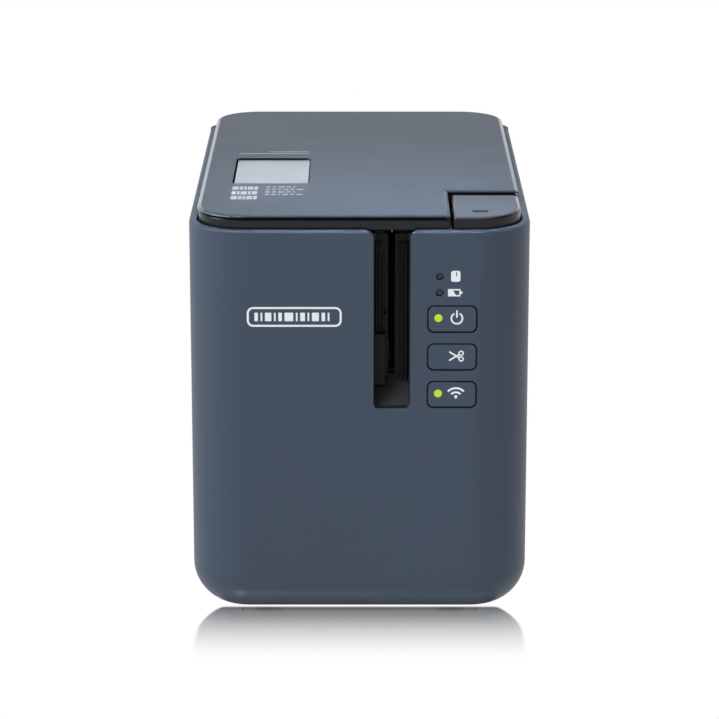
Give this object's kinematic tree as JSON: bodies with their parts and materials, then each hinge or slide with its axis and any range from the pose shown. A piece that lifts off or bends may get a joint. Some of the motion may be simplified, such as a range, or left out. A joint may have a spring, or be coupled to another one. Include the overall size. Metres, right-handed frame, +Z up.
{
  "type": "label maker",
  "caption": "Desktop label printer: slate casing with a hinged windowed lid, tall front tape slot, push buttons, and an inner print head, rollers, gear train and cutter.",
  "frame": {"origin": "on the supporting surface, under the middle of the casing's bounding box", "axes": "+X to the object's right as seen from the front, -Y towards the front with the tape slot, +Z up"},
  "size_m": [0.118, 0.192, 0.146],
  "materials": {
    "slate_plastic": "fine moulded texture, dark slate grey",
    "black_plastic": "black, satin to glossy",
    "window": "clear plastic with a frosted back",
    "rubber": "matt black",
    "roller_rubber": "matt dark grey",
    "steel": "plain sheet and turned steel",
    "aluminium": "plain extruded",
    "gear_plastic": "natural white acetal",
    "board": "green solder mask",
    "green_lens": "lit yellow-green",
    "dark_lens": "smoked, unlit",
    "ceramic": "glazed"
  },
  "bodies": {
    "casing": {"main_housing": "slate_plastic", "base_plate": "black_plastic", "rear_cover": "black_plastic", "top_deck": "black_plastic", "cassette_tray": "black_plastic", "tape_exit_chute": "black_plastic", "dc_jack": "black_plastic", "serial_port": "black_plastic", "foot_front_left": "rubber", "foot_front_right": "rubber", "foot_rear_left": "rubber", "foot_rear_right": "rubber", "base_screw_1": "steel", "base_screw_2": "steel", "base_screw_3": "steel", "base_screw_4": "steel", "hinge_pin_left": "steel", "hinge_pin_right": "steel", "release_spring": "steel", "chassis_frame": "steel", "holder_pivot_pin": "steel", "drive_motor": "steel", "motor_bracket": "steel", "cutter_frame": "steel", "fixed_blade": "steel", "cutter_motor": "steel", "wireless_module": "steel", "usb_port": "steel", "head_heatsink": "aluminium", "key_board": "board", "main_board": "board", "tape_status_lens": "dark_lens", "battery_status_lens": "dark_lens", "print_head": "ceramic"},
    "lid": {"top_cover": "black_plastic", "top_panel": "slate_plastic", "cassette_window": "window"},
    "release_button": {"release_button": "black_plastic"},
    "latch": {"latch_slider": "gear_plastic"},
    "power_button": {"power_button": "slate_plastic", "power_lens": "green_lens"},
    "feed_cut_button": {"feed_cut_button": "slate_plastic"},
    "wifi_button": {"wifi_button": "slate_plastic", "wifi_lens": "green_lens"},
    "roller_holder": {"roller_holder": "black_plastic"},
    "release_rod": {"release_rod": "gear_plastic"},
    "reduction_gear": {"reduction_gear": "gear_plastic"},
    "main_gear": {"main_gear": "gear_plastic"},
    "motor_pinion": {"motor_pinion": "gear_plastic"},
    "platen": {"platen_roller": "roller_rubber", "platen_shaft": "steel", "platen_gear": "gear_plastic"},
    "press_roller": {"press_roller": "roller_rubber"},
    "tape_drive": {"tape_drive_gear": "gear_plastic", "tape_drive_shaft": "black_plastic"},
    "ribbon_drive": {"ribbon_gear": "gear_plastic", "ribbon_spindle": "black_plastic"},
    "cutter_cam": {"cutter_cam_gear": "gear_plastic"},
    "cutter_pinion": {"cutter_pinion": "gear_plastic"},
    "moving_blade": {"moving_blade": "steel"}
  },
  "joints": [
    {"name": "lid_hinge", "type": "hinge", "parent": "casing", "child": "lid", "pos_m": [0, 0.0915, 0.1418], "axis": [-1, 0, 0], "range_deg": [0, 95]},
    {"name": "release_press", "type": "slide", "parent": "casing", "child": "release_button", "axis": [0, 0, -1], "range_m": [0, 0.003], "stiffness_N_per_m": 300, "springref_m": -0.003, "deforming": ["release_spring"]},
    {"name": "latch_slide", "type": "slide", "parent": "casing", "child": "latch", "axis": [1, 0, 0], "range_m": [0, 0.003]},
    {"name": "power_press", "type": "slide", "parent": "casing", "child": "power_button", "axis": [0, 1, 0], "range_m": [0, 0.0008], "stiffness_N_per_m": 900, "springref_m": -0.001},
    {"name": "feed_cut_press", "type": "slide", "parent": "casing", "child": "feed_cut_button", "axis": [0, 1, 0], "range_m": [0, 0.0008], "stiffness_N_per_m": 900, "springref_m": -0.001},
    {"name": "wifi_press", "type": "slide", "parent": "casing", "child": "wifi_button", "axis": [0, 1, 0], "range_m": [0, 0.0008], "stiffness_N_per_m": 900, "springref_m": -0.001},
    {"name": "holder_swing", "type": "hinge", "parent": "casing", "child": "roller_holder", "pos_m": [0.0162, 0.004, 0.0845], "axis": [0, 0, 1], "range_deg": [0, 5.7]},
    {"name": "rod_lift", "type": "slide", "parent": "casing", "child": "release_rod", "axis": [0, 0, 1], "range_m": [0, 0.00381]},
    {"name": "reduction_spin", "type": "hinge", "parent": "casing", "child": "reduction_gear", "pos_m": [0.00236, -0.021, 0.068], "axis": [0, 0, 1], "continuous": true},
    {"name": "main_spin", "type": "hinge", "parent": "casing", "child": "main_gear", "pos_m": [-0.0022, -0.038, 0.0742], "axis": [0, 0, 1], "continuous": true},
    {"name": "pinion_spin", "type": "hinge", "parent": "casing", "child": "motor_pinion", "pos_m": [0.01819, -0.00516, 0.068], "axis": [0, 0, 1], "continuous": true},
    {"name": "platen_spin", "type": "hinge", "parent": "roller_holder", "child": "platen", "pos_m": [0.0162, -0.038, 0.087], "axis": [0, 0, 1], "continuous": true},
    {"name": "press_spin", "type": "hinge", "parent": "roller_holder", "child": "press_roller", "pos_m": [0.0156, -0.05449, 0.087], "axis": [0, 0, 1], "continuous": true},
    {"name": "tape_spin", "type": "hinge", "parent": "casing", "child": "tape_drive", "pos_m": [0.00396, -0.05449, 0.0843], "axis": [0, 0, 1], "continuous": true},
    {"name": "ribbon_spin", "type": "hinge", "parent": "casing", "child": "ribbon_drive", "pos_m": [-0.01817, -0.02596, 0.0843], "axis": [0, 0, 1], "continuous": true},
    {"name": "cam_turn", "type": "hinge", "parent": "casing", "child": "cutter_cam", "pos_m": [0.035, -0.0745, 0.066], "axis": [0, 1, 0], "range_deg": [0, 110]},
    {"name": "cutter_pinion_spin", "type": "hinge", "parent": "casing", "child": "cutter_pinion", "pos_m": [0.035, -0.0745, 0.05], "axis": [0, 1, 0], "range_deg": [-330, 0]},
    {"name": "blade_swing", "type": "hinge", "parent": "casing", "child": "moving_blade", "pos_m": [0.0105, -0.0688, 0.077], "axis": [0, -1, 0], "range_deg": [0, 19.38]}
  ],
  "couplings": [
    {"joint": "latch_slide", "follows": "release_press", "ratio": 1},
    {"joint": "holder_swing", "follows": "lid_hinge", "ratio": 0.06},
    {"joint": "rod_lift", "follows": "lid_hinge", "m_per_rad": 0.0023},
    {"joint": "main_spin", "follows": "reduction_spin", "ratio": -0.46667},
    {"joint": "pinion_spin", "follows": "reduction_spin", "ratio": -3.6667},
    {"joint": "platen_spin", "follows": "reduction_spin", "ratio": 0.875},
    {"joint": "press_spin", "follows": "reduction_spin", "ratio": 1.0714},
    {"joint": "tape_spin", "follows": "reduction_spin", "ratio": 1},
    {"joint": "ribbon_spin", "follows": "reduction_spin", "ratio": 0.7},
    {"joint": "cutter_pinion_spin", "follows": "cam_turn", "ratio": -3},
    {"joint": "blade_swing", "follows": "cam_turn", "ratio": 0.17616}
  ]
}
